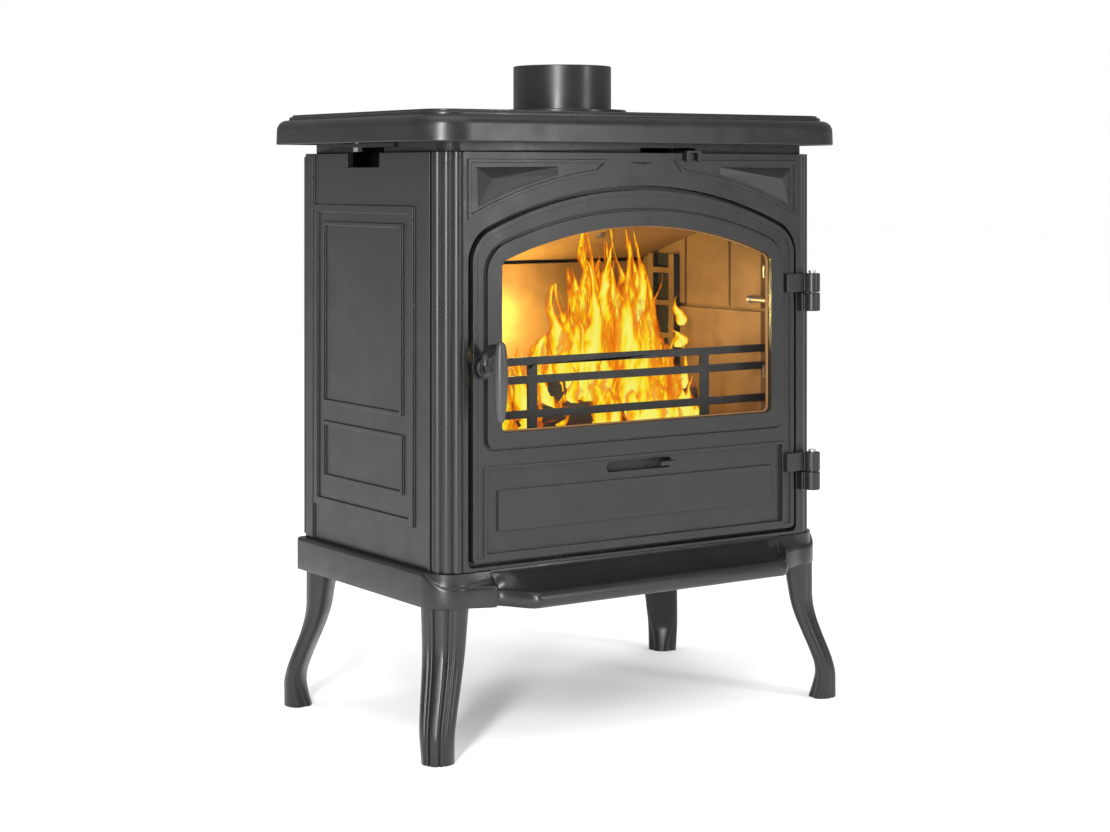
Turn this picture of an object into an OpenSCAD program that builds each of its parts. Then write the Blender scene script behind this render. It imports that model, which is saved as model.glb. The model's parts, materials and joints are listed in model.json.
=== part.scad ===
// Cast-iron wood burning stove on cabriole legs, with an arched glass door.
// Frame: +Z up, the door faces -Y, origin under the middle of the whole stove.

/* [Body] */
// Width across the side panels
body_w = 586; // [572:2:640]
// Depth from the front face to the back of the heat shield
body_d = 351; // [341:1:400]
// Height of the front and side castings
body_h = 504.5; // [504:0.5:560]
// Radius of the front corner columns
column_r = 31; // [28:1:34]
// Number of reeds on each front corner column
reed_count = 3; // [2:1:4]
// Thickness of the side castings
side_t = 12; // [9:1:14]
// Thickness of the front casting
front_t = 14; // [14:1:17]

/* [Base and legs] */
// Height of the legs
leg_h = 179; // [140:1:220]
// Height of the base skirt
base_h = 42.5; // [36:0.5:50]
// Overhang of the base past the side panels
base_side_over = 10.5; // [8:0.5:14]
// Overhang of the base past the front and the back
base_end_over = 3.5; // [2:0.5:6]
// Radius of the front corners of the base
base_r = 37; // [30:1:44]
// Width of a leg at its top
leg_top_w = 58; // [50:1:62]
// Width of a leg at its foot
leg_foot_w = 40; // [34:1:46]
// How far each foot steps out past the top of its leg, in X and in Y
leg_splay = 22; // [14:1:26]
// Reach of the ash lip in front of the body
lip_reach = 58; // [48:1:64]
// Width of the front edge of the ash lip
lip_w = 400; // [360:2:440]

/* [Top] */
// Gap between the castings and the rim of the top plate
neck_h = 12; // [10:1:16]
// Thickness of the top plate
top_t = 39; // [34:1:44]
// Overhang of the top plate past the side panels
top_side_over = 35; // [28:1:40]
// Overhang of the top plate past the front
top_front_over = 29; // [26:1:34]
// Overhang of the top plate past the heat shield
top_back_over = 31.5; // [26:0.5:36]
// Radius of the front corners of the top plate
top_r = 58; // [48:1:66]
// Outside diameter of the flue collar
collar_d = 130; // [120:1:150]
// Wall of the flue collar
collar_wall = 6; // [4:0.5:8]
// Height of the flue collar above the top plate
collar_rise = 65; // [50:1:80]

/* [Door] */
// Width of the door
door_w = 503; // [493:1:513]
// Gap between the door and its opening
door_gap = 5.5; // [4:0.5:6]
// Thickness of the door casting
door_t = 12; // [11:0.5:12.5]
// Height of the underside of the door above the base
door_lift = 9.5; // [8:0.5:12]
// Height of the arch of the door above the base
door_apex = 457.5; // [450:0.5:458]
// Radius of the door's arch
door_arch_r = 555; // [520:5:600]
// Radius of the door's shoulders
door_corner_r = 42; // [34:1:50]
// Width of the window
window_w = 423; // [400:1:430]
// Height of the window's sill above the base
window_sill = 164.5; // [160:0.5:170]
// Height of the window's arch above the base
window_apex = 412.5; // [400:0.5:416]
// Thickness of the door glass
glass_t = 4; // [4:0.5:5]
// Diameter of the hinge pins
pin_d = 7; // [5:0.5:9]
// Radial running clearance of the hinge pins
pin_clear = 0.08; // [0.05:0.01:0.1]

/* [Controls] */
// Length of the handle grip
grip_len = 98; // [84:1:110]
// Width of the handle grip
grip_w = 18; // [16:1:20]
// Reach of the grip's centre line in front of the door
grip_reach = 43; // [38:1:46]
// Width of the air slot in the door
slot_w = 102; // [80:2:120]
// Height of the air slot
slot_h = 13; // [10:1:14]

/* [Firebox] */
// Height of the hearth plate's top above the base
hearth_z = 130.5; // [126:0.5:134]
// Thickness of the hearth plate
hearth_t = 10; // [8:1:12]
// Thickness of the firebox liners
liner_t = 25; // [18:1:28]
// Height of the side liners
liner_h = 290; // [270:2:300]
// Width of the ash pan
pan_w = 300; // [240:2:310]
// Depth of the ash pan
pan_d = 235; // [180:5:240]
// Height of the ash pan
pan_h = 55; // [40:1:70]
// Wall of the ash pan
pan_wall = 2; // [1.5:0.5:3]

/* [Hidden] */
$fn = 64;
eps = 0.01;
iron = "#3f4143";
iron_dark = "#2c2d2f";
steel = "#b9bcc0";
brick = "#b88b55";

// Levels
z_base = leg_h;
z_floor = z_base + base_h;
z_body = z_floor + body_h;
z_rim = z_body + neck_h;
z_top = z_rim + top_t;
z_collar = z_top + collar_rise;
z_hearth = z_floor + hearth_z;

// Body faces
x_side = body_w / 2;
y_front = -body_d / 2;
y_back = body_d / 2;
lip_y = y_front - lip_reach;
top_y0 = y_front - top_front_over;
top_y1 = y_back + top_back_over;
y_shift = -(lip_y + top_y1) / 2;
column_x = x_side - column_r;
column_lap = 2;
column_y = y_front + column_r;
plate_back = y_front + front_t;

// Base
base_x = x_side + base_side_over;
base_y0 = y_front - base_end_over;
base_y1 = y_back + base_end_over;
base_wall = 7;
floor_t = 8;
base_back_r = 6;
leg_inset = 11.5;
leg_x = base_x - leg_inset;
leg_y0 = base_y0 + leg_inset;
leg_y1 = base_y1 - leg_inset;
pad_t = 10;

// Rear: heat shield, air gap and rear panel
shield_t = 1.5;
shield_gap = 12;
rear_t = 10;
rear_y = y_back - shield_t - shield_gap - rear_t;
shield_drop = 4;
stud_x = 190;
stud_z0 = z_floor + 90;
stud_z1 = z_body - 90;

// Door opening
arch_z = z_floor + door_apex;
door_z0 = z_floor + door_lift;
open_a = door_w / 2 + door_gap;
land_in = 22;
land_t = 8;
seal_w = 8;
seal_in = 9;
seal_seat = 3;
seal_gap = 0.2;
window_r = 12;
window_arch_r = door_arch_r + 3;
frame_in = 16.5;
frame_drop = 21.5;
frame_top = 22;
frame_r = 14;
relief = 2.5;

// Lower panel of the door
panel_a = door_w / 2 - 20;
panel_z0 = door_z0 + 10;
panel_z1 = z_floor + 120.5;
panel_sink = 3;
field_a = door_w / 2 - 37.5;
field_z0 = z_floor + 45;
field_z1 = z_floor + 94.5;
slot_z = z_floor + 110.5;

// Hinges
hinge_x = x_side - 18;
hinge_y = y_front - 11.5;
knuckle_r = 10.5;
knuckle_h = 25;
hinge_split = 1;
hinge_z_hi = z_floor + 321;
hinge_z_lo = z_floor + 83.5;
strap_x = door_w / 2 - 16;
strap_t = 6;
bead_h = 2;
bead_w = 6;
pin_r = pin_d / 2;

// Handle
hub_x = -(door_w / 2 - 13);
hub_z = z_floor + 245;
hub_r = 13;
hub_t = 9;
hub_seat = 4;
hub_y = y_front - hub_seat - 0.3;
spindle_r = 5;
grip_top = hub_z + 34;
grip_y = y_front - grip_reach;
tongue_len = 16;
tongue_h = 12;
tongue_t = 7;
tongue_y = y_front + door_t + 1.5;
tongue_gap = 2.5;
latch_room = tongue_len + 6;
keeper_w = 6;
keeper_t = 7;
keeper_x1 = hub_x - tongue_len - tongue_gap;

// Air controls
plate_gap = 0.5;
slider_h = 26;
slider_x0 = -slot_w / 2 - 6;
slider_x1 = slot_w / 2 + 30;
lever_w = 12;
lever_out = 4;
lever_x = slot_w / 2 - lever_w / 2 - 1.5;
lever_travel = slot_w - lever_w - 6;
wash_x = 81;
wash_w = 24;
wash_travel = 60;
wash_z = z_body + 0.4;
wash_t = 3;

// Firebox
liner_x = x_side - side_t - 22;
liner_y0 = y_front + 46;
liner_back_t = 12.5;
liner_y1 = rear_y - liner_back_t - 5.5;
liner_top_back = liner_h - 62;
liner_flat = 60;
baffle_t = 12;
chamber_x = pan_w / 2 + 10;
chamber_t = 8;
grate_w = 240;
grate_d = 160;
grate_ledge = 8;
fence_t = 4;
fence_y = liner_y0 - fence_t;
fence_bar = 10;
fence_a = liner_x - liner_t + 12;
fence_z = [z_floor + 179, z_floor + 222, z_floor + 245];
fence_post_x = 136;
fence_post_w = 14;

// Ash pan
pan_y0 = y_front + 37;
rail_h = door_lift - door_gap + land_in + 0.6;
rail_w = 10;
rail_x = pan_w / 2 - 30;
slide_gap = 0.4;
pan_z = z_floor + rail_h + slide_gap;

// Fasteners
bolt_r = 4;
bolt_head_r = 6.5;
bolt_head_h = 5.3;
screw_r = 2.5;
screw_head_r = 4.5;
screw_head_h = 3;
screw_bite = 6;
rod_r = 4;
rod_x = x_side - side_t - 12;
rod_y = y_back - 60;
clamp_y0 = -50;
clamp_len = 150;
clamp_bolt_y = 52;
notch_y0 = -18;
notch_len = 82;
notch_h = 18;
clamp_t = 5;

// ---------- helpers ----------

// Moves a module from the body's own centre to the stove's origin.
module place() {
  translate([0, y_shift, 0]) children();
}

// Points on an arc about c, from angle a0 to a1.
function arc(c, r, a0, a1, n = 12) =
  [for (i = [0:n]) c + r * [cos(a0 + (a1 - a0) * i / n), sin(a0 + (a1 - a0) * i / n)]];

// An arched outline: half width a, sill z0, crown z1, arch radius r, shoulder radius rc,
// bottom corner radius rb, all drawn in by g.
function arched(a, z0, z1, r, rc, rb, g = 0) =
  let (
    c = z1 - r,
    sx = a - rc,
    sz = c + sqrt(pow(r - rc, 2) - sx * sx),
    t = atan2(sz - c, sx)
  )
  concat(
    arc([a - rb, z0 + rb], rb - min(g, rb - 0.5), -90, 0, 6) + [for (i = [0:6]) bottom_in(g, rb, 1)],
    arc([sx, sz], rc - g, 0, t, 8),
    arc([0, c], r - g, t, 180 - t, 32),
    arc([-sx, sz], rc - g, 180 - t, 180, 8),
    arc([-a + rb, z0 + rb], rb - min(g, rb - 0.5), 180, 270, 6) + [for (i = [0:6]) bottom_in(g, rb, -1)]
  );

// Extra shift of a bottom corner whose radius is smaller than the inset.
function bottom_in(g, rb, side) =
  let (d = g - min(g, rb - 0.5)) [-side * d, d];

// Stands an XZ outline up, from y0 back to y0 + t.
module wall(y0, t) {
  translate([0, y0 + t, 0]) rotate([90, 0, 0]) linear_extrude(t) children();
}

// A plan with rounded front and back corners.
module plan(a, y0, y1, rf, rb) {
  polygon(concat(
    arc([a - rf, y0 + rf], rf, -90, 0, 16),
    arc([a - rb, y1 - rb], rb, 0, 90, 8),
    arc([-a + rb, y1 - rb], rb, 90, 180, 8),
    arc([-a + rf, y0 + rf], rf, 180, 270, 16)
  ));
}

module tube_z(r_out, r_in, h) {
  difference() {
    cylinder(r = r_out, h = h);
    translate([0, 0, -1]) cylinder(r = r_in, h = h + 2);
  }
}

// A hexagon bolt: head below z = 0, shank above it.
module hex_bolt(r, head_r, head_h, length) {
  translate([0, 0, -head_h]) cylinder(r = head_r, h = head_h, $fn = 6);
  translate([0, 0, -eps]) cylinder(r = r, h = length + eps);
}

// ---------- base and legs ----------

// The base flares out to meet the ash lip.
lip_root = 226;
lip_roll = 10.5;
wing_h = 25;
wing_out = 12;

module base_casting() color(iron) place() {
  difference() {
    union() {
      translate([0, 0, z_base]) linear_extrude(base_h) plan(base_x, base_y0, base_y1, base_r, base_back_r);
      for (side = [0, 1]) mirror([side, 0, 0]) translate([0, 0, z_base]) linear_extrude(wing_h)
        polygon([[lip_root, base_y0 + 2], [lip_root, base_y0 - wing_out], [base_x - base_r, base_y0 + 0.1],
          [base_x - base_r, base_y0 + 2]]);
    }
    translate([0, 0, z_base - 1]) linear_extrude(base_h - floor_t + 1)
      plan(base_x - base_wall, base_y0 + base_wall, base_y1 - base_wall, base_r - base_wall, 2);
    leg_sites() translate([0, 0, z_floor - floor_t - 1]) cylinder(r = bolt_r, h = floor_t - 3 + 1);
  }
}

// The four leg positions, with the local +X along the outward diagonal.
module leg_site(sx, sy) {
  translate([sx * leg_x, sy > 0 ? leg_y1 : leg_y0, 0]) rotate([0, 0, atan2(sy, sx)]) children();
}

leg_seat = 26;
module leg_sites() {
  for (sx = [-1, 1], sy = [-1, 1])
    leg_site(sx, sy) translate([-leg_seat, 0, 0]) children();
}

// Leg form along its height: outward step of the outer face, depth and width.
leg_step = leg_splay * sqrt(2);
function leg_t(z) = 1 - z / leg_h;
function leg_out(t) = t < 0.22 ? 0 : leg_step * (1 - pow(cos(min(1, (t - 0.22) / 0.62) * 90), 1.6));
leg_heel_t = 0.72;
function leg_depth(t) =
  t < leg_heel_t
    ? 38 - 13 * sin(min(1, t / 0.62) * 90)
    : 25 + 11 * pow((t - leg_heel_t) / (1 - leg_heel_t), 1.5);
function leg_width(t) = leg_top_w + (leg_foot_w - leg_top_w) * pow(t, 0.9);
leg_rings = 18;
leg_sides = 44;
rib_depth = 2.2;
leg_nose = 1.24;

// One ring of a leg's section: a rounded rectangle with three ribs on its outer face.
function leg_ring(t) =
  let (d = leg_depth(t) / 2, w = leg_width(t) / 2, u = leg_out(t) - d)
  [for (i = [0:leg_sides - 1])
    let (
      a = 360 * i / leg_sides,
      front = cos(a) > 0,
      cx = front ? leg_nose * cos(a) : -(2 - leg_nose) * pow(abs(cos(a)), 0.5),
      cy = front ? sin(a) : sign(sin(a)) * pow(abs(sin(a)), 0.8),
      rib = abs(cy) < 0.72 ? rib_depth * (cos(cy * 540) - 1) / 2 * min(1, (0.72 - abs(cy)) * 8) : 0
    )
    [u + d * (cx + 1 - leg_nose) + (front ? rib : 0), w * cy, leg_h * (1 - t)]];

module leg_body() {
  rings = [for (k = [0:leg_rings]) leg_ring(1 - k / leg_rings)];
  pts = [for (r = rings) each r];
  n = leg_sides;
  polyhedron(
    points = pts,
    faces = concat(
      [[for (i = [0:n - 1]) i]],
      [[for (i = [n - 1:-1:0]) leg_rings * n + i]],
      [for (k = [0:leg_rings - 1], i = [0:n - 1])
        [k * n + i, (k + 1) * n + i, (k + 1) * n + (i + 1) % n, k * n + (i + 1) % n]]
    ),
    convexity = 4
  );
}

// A leg, with the pad that bolts up under the base plate.
module leg(sx, sy) color(iron) place() leg_site(sx, sy) {
  difference() {
    union() {
      leg_body();
      translate([-leg_seat, 0, leg_h - pad_t]) cylinder(r = 17, h = z_floor - floor_t - leg_h + pad_t);
    }
    translate([-leg_seat, 0, leg_h - pad_t - 16]) cylinder(r = bolt_r + 0.5, h = 80);
    translate([-leg_seat, 0, leg_h - pad_t - 60]) cylinder(r = bolt_head_r + 2.5, h = 60);
  }
}

module leg_front_left() leg(-1, -1);
module leg_front_right() leg(1, -1);
module leg_rear_left() leg(-1, 1);
module leg_rear_right() leg(1, 1);

module leg_bolts() color(steel) place() leg_sites()
  translate([0, 0, leg_h - pad_t])
    hex_bolt(bolt_r, bolt_head_r, bolt_head_h, z_floor - 3 - leg_h + pad_t);

// The lip that catches ash under the door: an ogee plan cut from a rolled profile.
module ash_lip() color(iron) place() intersection() {
  translate([0, 0, z_base - 1]) linear_extrude(base_h + 2) polygon(concat(
    [[-lip_root, base_y0], [-lip_root, base_y0 - wing_out]],
    arc([-lip_w / 2 - 4, lip_y + 22], 22, 190, 270, 8),
    arc([lip_w / 2 + 4, lip_y + 22], 22, 270, 350, 8),
    [[lip_root, base_y0 - wing_out], [lip_root, base_y0]]
  ));
  translate([-lip_root - 1, 0, 0]) rotate([90, 0, 90]) linear_extrude(2 * lip_root + 2) polygon(concat(
    [[base_y0, z_base], [base_y0, z_floor - 4]],
    arc([base_y0 - 20, z_base + 54], 24, -60, -100, 4),
    arc([lip_y + lip_roll, z_base + lip_roll], lip_roll, 90, 270, 14)
  ));
}

// ---------- body castings ----------

function door_outline(g = 0) =
  arched(door_w / 2 + door_gap, door_z0 - door_gap, arch_z + door_gap, door_arch_r + door_gap,
    door_corner_r + door_gap, 7, g);

// Plan of one reeded corner column, with its hollow back.
reed_r = 7.7 * 3 / reed_count;
reed_c = column_r - reed_r;
module column_plan() {
  difference() {
    union() {
      circle(r = reed_c + 3);
      for (i = [0:reed_count - 1])
        rotate([0, 0, 180 + 90 * (i + 0.5) / reed_count]) translate([reed_c, 0])
          circle(r = reed_r, $fn = 32);
    }
    circle(r = column_r - side_t);
    translate([0, -60]) square([60, 120]);
    translate([-60, 0]) square([120, 60]);
  }
}

module column(side) {
  mirror([side > 0 ? 1 : 0, 0, 0]) translate([-column_x, column_y, z_floor])
    linear_extrude(body_h) column_plan();
}

// The raised border of a spandrel, drawn in by g.
span_x1 = door_w / 2 + 6.5;
span_x0 = 53;
span_z1 = z_body - 9;
span_cut = 16.5;
span_r = door_arch_r + door_gap + 20;
span_c = arch_z + door_gap - (door_arch_r + door_gap);
function span_pts(g) =
  let (
    r = span_r + g,
    x1 = span_x1 - g,
    x0 = span_x0 + 12 + g,
    a1 = acos(x1 / r),
    a0 = acos(x0 / r)
  )
  concat(arc([0, span_c], r, a0, a1, 14), [[x1, span_z1 - g], [span_x0 + 1.2 * g, span_z1 - g]]);

// A low pyramid on the outer end of the spandrel.
wedge_h = 7;
module wedge() {
  low_r = span_r + 8;
  x0 = span_x1 - 130;
  x1 = span_x1 - 14;
  base = concat(
    [[x1 + 2, span_z1 - 10], [x0, span_z1 - 9]],
    arc([0, span_c], low_r, acos(x0 / low_r), acos(x1 / low_r), 6)
  );
  n = len(base);
  polyhedron(
    points = concat(
      [for (p = base) [p[0], y_front - 0.3, p[1]]],
      [for (p = base) [p[0], y_front + 2, p[1]]],
      [[span_x1 - 31, y_front - wedge_h, span_z1 - 24]]
    ),
    faces = concat(
      [for (i = [0:n - 1]) [(i + 1) % n, i, 2 * n]],
      [for (i = [0:n - 1]) [i, (i + 1) % n, n + (i + 1) % n, n + i]],
      [[for (i = [n - 1:-1:0]) n + i]]
    )
  );
}

// A shallow lozenge over the middle of the arch.
module lozenge() {
  polyhedron(
    points = [
      [-26, y_front + 1, z_body - 12], [26, y_front + 1, z_body - 12],
      [0, y_front + 1, z_body - 20], [0, y_front - 4, z_body - 14]
    ],
    faces = [[0, 1, 2], [0, 3, 1], [1, 3, 2], [2, 3, 0]]
  );
}

module front_casting() color(iron) place() difference() {
  union() {
    wall(y_front, front_t) difference() {
      translate([-column_x - column_lap, z_floor]) square([2 * (column_x + column_lap), body_h]);
      polygon(door_outline());
    }
    wall(plate_back, land_t) difference() {
      translate([-column_x - column_lap, z_floor]) square([2 * (column_x + column_lap), body_h]);
      polygon(door_outline(land_in));
    }
    for (side = [-1, 1]) {
      column(side);
      mirror([side > 0 ? 0 : 1, 0, 0]) {
        wall(y_front - relief, relief + 1) difference() {
          polygon(span_pts(0));
          polygon(span_pts(4));
        }
        wedge();
      }
    }
    lozenge();
  }
  // room for the latch tongue behind the handle-side stile
  translate([keeper_x1 - keeper_w - 0.5, plate_back, hub_z - latch_room - 6])
    cube([keeper_w + 0.5 + open_a - abs(keeper_x1) + land_in + 1, column_r, 2 * latch_room + 12]);
}

// Panel mouldings on a side casting, in YZ.
mould = 3;
side_face = x_side - mould;
side_y0 = column_y;
side_y1 = y_back - shield_t - 2;
function frame_box(inset_y0, inset_y1, z0, z1) = [side_y0 + inset_y0, side_y1 - inset_y1, z0, z1];
mould_frames = [
  [frame_box(40, 22, z_floor + 47, z_body - 66), 10],
  [frame_box(68, 45, z_floor + 180.5, z_body - 88), 5],
  [frame_box(66, 46, z_floor + 83.5, z_body - 347), 5]
];

module side_panel(sx) color(iron) place() mirror([sx > 0 ? 1 : 0, 0, 0]) difference() {
  union() {
    translate([-side_face, side_y0, z_floor]) cube([side_t - mould, side_y1 - side_y0, body_h]);
    for (m = mould_frames) {
      b = m[0];
      w = m[1];
      translate([-x_side, 0, 0]) difference() {
        translate([0, b[0], b[2]]) cube([mould + 1, b[1] - b[0], b[3] - b[2]]);
        translate([-1, b[0] + w, b[2] + w]) cube([mould + 3, b[1] - b[0] - 2 * w, b[3] - b[2] - 2 * w]);
      }
    }
    // thicker front and back edges
    translate([-x_side, side_y0, z_floor]) cube([side_t, 5, body_h]);
    translate([-x_side, side_y1 - 20, z_floor]) cube([side_t, 20, body_h]);
  }
  translate([-x_side - 1, notch_y0, z_body - notch_h]) cube([side_t + 2, notch_len, notch_h + 1]);
}

module side_panel_left() side_panel(-1);
module side_panel_right() side_panel(1);

module rear_panel() color(iron_dark) place() difference() {
  wall(rear_y, rear_t) translate([-x_side + side_t, z_floor]) square([body_w - 2 * side_t, body_h]);
  shield_sites() translate([0, 0, -screw_bite]) cylinder(r = screw_r, h = screw_bite + 1);
}

module shield_sites() {
  for (sx = [-1, 1], z = [stud_z0, stud_z1])
    translate([sx * stud_x, rear_y + rear_t, z]) rotate([-90, 0, 0]) children();
}

module rear_heat_shield() color(iron_dark) place() difference() {
  wall(y_back - shield_t, shield_t) translate([-x_side, z_floor + shield_drop])
    square([body_w, body_h - 2 * shield_drop]);
  shield_sites() cylinder(r = screw_r, h = 60);
  // rows of vent slots
  for (z = [z_floor + 60, z_body - 60], i = [-5:5])
    translate([i * 40, y_back, z]) cube([24, 20, 6], center = true);
}

module shield_spacers() color(steel) place() shield_sites() tube_z(7, screw_r, shield_gap);

module shield_screws() color(steel) place() shield_sites() {
  translate([0, 0, -screw_bite]) cylinder(r = screw_r, h = shield_gap + shield_t + screw_bite + eps);
  translate([0, 0, shield_gap + shield_t]) cylinder(r = screw_head_r, h = screw_head_h);
}

// ---------- top ----------

// Edge moulding of the top plate: outward offset from the corner centre, and height.
edge_in = 21.5;
function edge_pts(r) = concat(
  [[r - edge_in - 3, 0], [r, 0], [r - 0.6, top_t * 0.46]],
  arc([r - 14.6, top_t * 0.46], 14, 8, 90, 8),
  [[r - 17, top_t * 0.46 + 14], [r - 17, top_t - 5]],
  arc([r - 19.5, top_t - 5], 2.5, 0, 90, 5),
  [[r - edge_in, top_t - 2.5], [r - edge_in, top_t], [r - edge_in - 3, top_t]]
);

top_a = x_side + top_side_over;
top_back_r = 26;
module top_corner(r) {
  rotate_extrude(angle = 90) polygon(edge_pts(r));
}

// A straight length of the edge moulding along +X, facing -Y.
module top_edge(r, length) {
  rotate([90, 0, 90]) linear_extrude(length) mirror([1, 0]) polygon(edge_pts(r));
}

neck_in = 10;
neck_wall = 8;
clamp_w = 12;
rim_t = 10;
module top_plate() color(iron) place() difference() {
  union() {
    translate([0, 0, z_rim]) {
      for (side = [-1, 1]) mirror([side > 0 ? 0 : 1, 0, 0]) {
        translate([top_a - top_r, top_y0 + top_r, 0]) rotate([0, 0, -90]) top_corner(top_r);
        translate([top_a - top_back_r, top_y1 - top_back_r, 0]) top_corner(top_back_r);
        translate([top_a - top_back_r, top_y0 + top_r, 0]) rotate([0, 0, 90])
          top_edge(top_back_r, top_y1 - top_back_r - top_y0 - top_r);
      }
      translate([-top_a + top_r, top_y0 + top_r, 0]) top_edge(top_r, 2 * (top_a - top_r));
      translate([top_a - top_back_r, top_y1 - top_back_r, 0]) rotate([0, 0, 180])
        top_edge(top_back_r, 2 * (top_a - top_back_r));
      linear_extrude(top_t)
        plan(top_a - edge_in - 1, top_y0 + edge_in + 1, top_y1 - edge_in - 1, top_r - edge_in - 1, 3.5);
    }
    // locating rim that seats on the castings
    translate([0, 0, z_body]) linear_extrude(neck_h + 1) difference() {
      plan(x_side - neck_in, y_front + neck_in, rear_y + rear_t, column_r - neck_in, 3);
      plan(x_side - neck_in - neck_wall, y_front + neck_in + neck_wall, rear_y + rear_t - 8, 12, 2);
    }
  }
  // hollow underside, flue hole, clamp bar and air-wash openings
  translate([0, 0, z_rim - 1]) linear_extrude(top_t - 12 + 1)
    plan(x_side - neck_in - neck_wall, y_front + neck_in + neck_wall, rear_y + rear_t - 8, 12, 2);
  translate([0, 0, z_rim]) cylinder(r = collar_d / 2 - collar_wall, h = top_t + 1);
  // hollow under the overhang
  translate([0, 0, z_rim - 1]) linear_extrude(top_t - 18 + 1) difference() {
    plan(top_a - rim_t, top_y0 + rim_t, top_y1 - rim_t, top_r - rim_t, top_back_r - rim_t);
    plan(x_side - neck_in, y_front + neck_in, rear_y + rear_t, column_r - neck_in, 3);
  }
  clamp_space(1);
  for (side = [0, 1]) mirror([side, 0, 0]) translate([clamp_x - clamp_w / 2 - 1, notch_y0, z_body - 1])
    cube([clamp_w + 2, notch_len, neck_h + 1]);
  translate([wash_x - wash_w / 2 - wash_travel - 2, y_front - 1, z_body - 1])
    cube([wash_w + wash_travel + 4, 60, wash_t + 4]);
  for (sx = [-1, 1]) translate([sx * clamp_x, clamp_bolt_y, z_body - 1]) cylinder(r = bolt_r + 0.3, h = 30);
}

collar_flange_r = collar_d / 2 + 20;
collar_flange_t = 7;
collar_bolt_r = collar_d / 2 + 11;
module collar_sites() {
  for (i = [0:2]) rotate([0, 0, 90 + 120 * i])
    translate([collar_bolt_r, 0, z_top + collar_flange_t]) children();
}

module flue_collar() color(iron) place() difference() {
  union() {
    translate([0, 0, z_top]) cylinder(r = collar_flange_r, h = collar_flange_t);
    translate([0, 0, z_top]) cylinder(r = collar_d / 2, h = collar_rise, $fn = 96);
  }
  translate([0, 0, z_top - 1]) cylinder(r = collar_d / 2 - collar_wall, h = collar_rise + 2, $fn = 96);
  collar_sites() translate([0, 0, -20]) cylinder(r = screw_r, h = 21);
  collar_sites() translate([0, 0, -screw_head_h]) cylinder(r = screw_head_r, h = screw_head_h + 1);
}

module collar_screws() color(steel) place() collar_sites() {
  translate([0, 0, -collar_flange_t]) cylinder(r = screw_r, h = collar_flange_t - screw_head_h + eps);
  translate([0, 0, -screw_head_h]) cylinder(r = screw_head_r, h = screw_head_h);
}

// Clamp bars under the rim, drawn up by one bolt each side.
clamp_x = x_side - 12;
module clamp_space(extra) {
  for (sx = [-1, 1])
    translate([sx * clamp_x, clamp_y0 + clamp_len / 2, z_rim - clamp_t / 2])
      cube([clamp_w + 2 * extra, clamp_len + 2 * extra, clamp_t], center = true);
}

module clamp_bars() color(iron_dark) place() difference() {
  clamp_space(-1);
  for (sx = [-1, 1]) translate([sx * clamp_x, clamp_bolt_y, z_body]) cylinder(r = bolt_r, h = 30);
}

module clamp_bolts() color(steel) place() for (sx = [-1, 1])
  translate([sx * clamp_x, clamp_bolt_y, z_rim - clamp_t])
    hex_bolt(bolt_r, bolt_head_r, bolt_head_h, clamp_t + 12);

// Rods that draw the top plate down on the base.
module tie_rods() color(steel) place() for (sx = [-1, 1], sy = [-1, 1])
  translate([sx * rod_x, sy > 0 ? rod_y : plate_back + land_t + 8, z_floor]) {
    cylinder(r = rod_r, h = z_rim + top_t - 12 - z_floor);
    cylinder(r = 7.5, h = 6.5, $fn = 6);
  }

// ---------- firebox ----------

hearth_d = liner_y1 + liner_back_t + 2 - liner_y0 + 10;
module hearth_plate() color(iron_dark) place() difference() {
  translate([-liner_x, liner_y0 - 10, z_hearth - hearth_t])
    cube([2 * liner_x, hearth_d, hearth_t]);
  translate([-grate_w / 2, -grate_d / 2, z_hearth - hearth_t / 2])
    cube([grate_w, grate_d, hearth_t]);
  translate([-grate_w / 2 + grate_ledge, -grate_d / 2 + grate_ledge, z_hearth - hearth_t - 1])
    cube([grate_w - 2 * grate_ledge, grate_d - 2 * grate_ledge, hearth_t]);
}

module ash_chamber(sx) color(iron_dark) place()
  translate([sx > 0 ? chamber_x : -chamber_x - chamber_t, liner_y0 - 10, z_floor])
    cube([chamber_t, hearth_d, hearth_z - hearth_t]);
module ash_chamber_left() ash_chamber(-1);
module ash_chamber_right() ash_chamber(1);

module pan_rails() color(steel) place() for (sx = [-1, 1])
  translate([sx * rail_x - rail_w / 2, pan_y0, z_floor]) cube([rail_w, pan_d, rail_h]);

grate_gap = 0.5;
grate_slot = 9;
grate_pitch = 18;
module fire_grate() color(iron_dark) place() difference() {
  translate([-grate_w / 2 + grate_gap, -grate_d / 2 + grate_gap, z_hearth - hearth_t / 2])
    cube([grate_w - 2 * grate_gap, grate_d - 2 * grate_gap, hearth_t / 2 + 3]);
  for (i = [-5:5], sy = [-1, 1])
    translate([i * grate_pitch, sy * grate_d / 4, z_hearth])
      cube([grate_slot, grate_d / 2 - 26, 30], center = true);
}

// Side liner: a plain lower board, a shelf line, and grooves between the upper boards.
liner_step_z = z_floor + 295;
groove_w = 5;
groove_deep = 9;
module side_liner(sx) color(brick) place() mirror([sx > 0 ? 1 : 0, 0, 0]) difference() {
  translate([-liner_x, 0, 0]) rotate([90, 0, 90]) linear_extrude(liner_t) polygon([
    [liner_y0, z_hearth], [liner_y1, z_hearth], [liner_y1, z_hearth + liner_top_back],
    [liner_y0 + liner_flat, z_hearth + liner_h], [liner_y0, z_hearth + liner_h]
  ]);
  for (y = [liner_y0 + 66, liner_y0 + 164])
    translate([-liner_x + liner_t - groove_deep, y - groove_w / 2, liner_step_z])
      cube([groove_deep + 1, groove_w, liner_h]);
  translate([-liner_x + liner_t - groove_deep, liner_y0 - 1, liner_step_z - groove_w / 2])
    cube([groove_deep + 1, liner_y1 - liner_y0 + 2, groove_w]);
}
module liner_left() side_liner(-1);
module liner_right() side_liner(1);

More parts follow.
